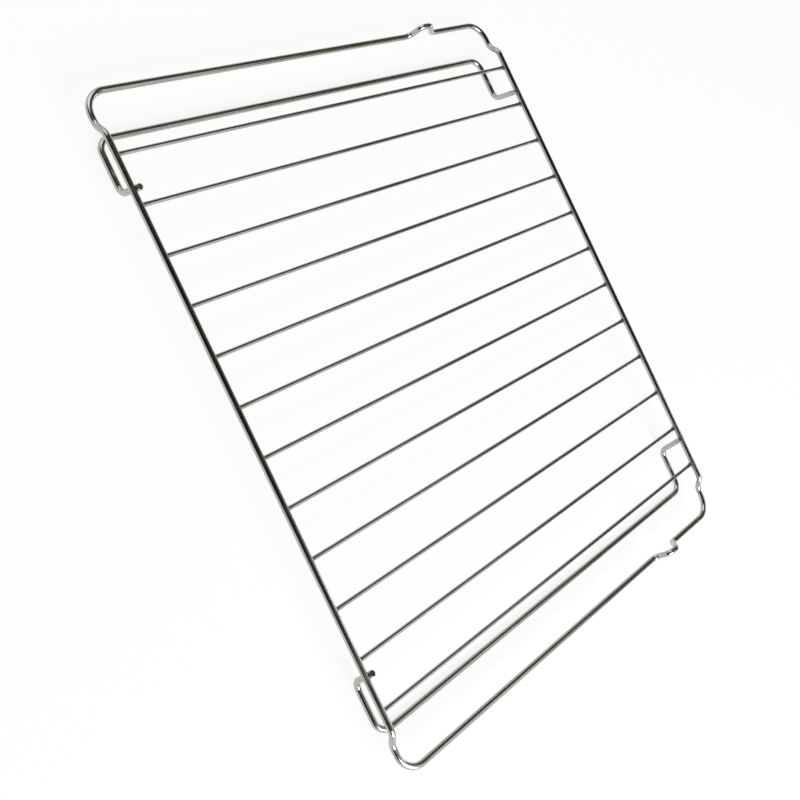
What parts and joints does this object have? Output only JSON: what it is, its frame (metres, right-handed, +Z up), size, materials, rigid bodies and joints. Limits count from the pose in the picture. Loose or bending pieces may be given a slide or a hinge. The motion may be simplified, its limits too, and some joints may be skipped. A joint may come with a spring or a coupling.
{
  "type": "oven shelf rack",
  "caption": "Plated wire oven shelf: a closed bent-wire frame with a raised rim and stop humps, thin cross wires between its rails, and bent foot wires underneath.",
  "frame": {"origin": "middle of the rack, on the table that its foot wires stand on", "axes": "+X to the right along the rails, +Y from the front rail to the rear rail, +Z up"},
  "size_m": [0.466, 0.385, 0.0322],
  "materials": {
    "plated_wire": "bright plating on drawn steel wire"
  },
  "bodies": {
    "root": {"outer_frame": "plated_wire", "cross_wire_01": "plated_wire", "cross_wire_02": "plated_wire", "cross_wire_03": "plated_wire", "cross_wire_04": "plated_wire", "cross_wire_05": "plated_wire", "cross_wire_06": "plated_wire", "cross_wire_07": "plated_wire", "cross_wire_08": "plated_wire", "cross_wire_09": "plated_wire", "cross_wire_10": "plated_wire", "cross_wire_11": "plated_wire", "cross_wire_12": "plated_wire", "foot_wire_left": "plated_wire", "foot_wire_right": "plated_wire"}
  },
  "joints": []
}
